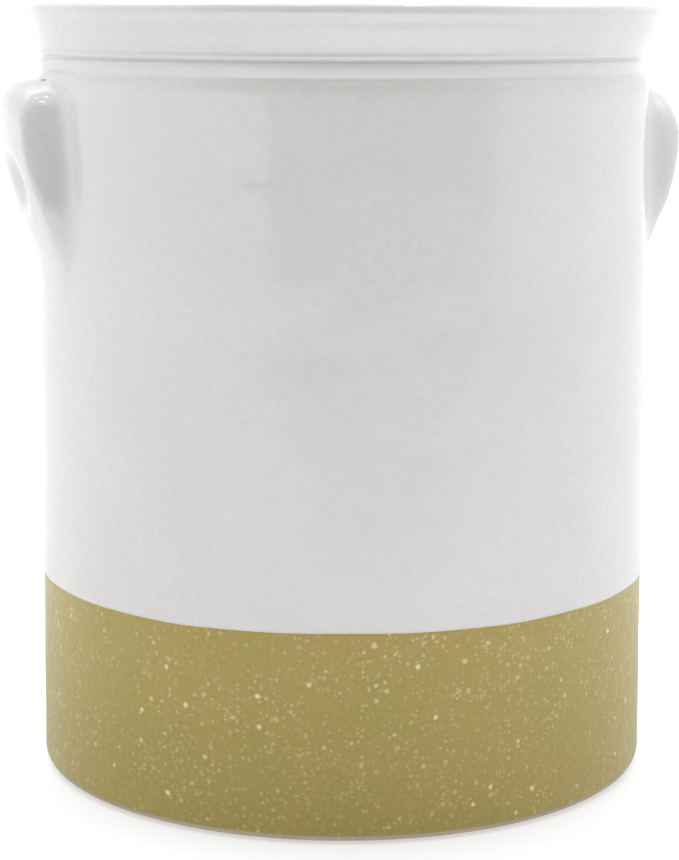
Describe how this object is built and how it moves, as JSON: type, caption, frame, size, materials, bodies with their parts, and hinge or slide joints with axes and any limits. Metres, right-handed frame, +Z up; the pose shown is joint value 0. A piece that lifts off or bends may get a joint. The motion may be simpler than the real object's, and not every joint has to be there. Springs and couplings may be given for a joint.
{
  "type": "fermentation crock",
  "caption": "Straight-walled stoneware fermentation crock with white glaze over a bare speckled band, ear handles, drop-in knobbed lid and half-moon weights.",
  "frame": {"origin": "on the crock's axis, on the surface that the foot ring stands on", "axes": "+Z up the crock's axis; the two handles lie on the X axis, the left one on -X; -Y is the side that the picture looks at, turned about 15 degrees"},
  "size_m": [0.2374, 0.2154, 0.265],
  "materials": {
    "white_glaze": "gloss",
    "speckled_stoneware": "satin",
    "bare_stoneware": "matte"
  },
  "bodies": {
    "crock": {"crock_body": "speckled_stoneware", "white_glaze": "white_glaze", "left_handle": "white_glaze", "right_handle": "white_glaze"},
    "lid": {"lid": "white_glaze", "lid_knob": "white_glaze"},
    "left_weight": {"left_weight": "bare_stoneware"},
    "right_weight": {"right_weight": "bare_stoneware"}
  },
  "joints": [
    {"name": "lid_lift", "type": "slide", "parent": "crock", "child": "lid", "axis": [0, 0, 1], "range_m": [0, 0.15]},
    {"name": "left_weight_lift", "type": "slide", "parent": "crock", "child": "left_weight", "axis": [0, 0, 1], "range_m": [0, 0.195]},
    {"name": "right_weight_lift", "type": "slide", "parent": "crock", "child": "right_weight", "axis": [0, 0, 1], "range_m": [0, 0.195]}
  ]
}
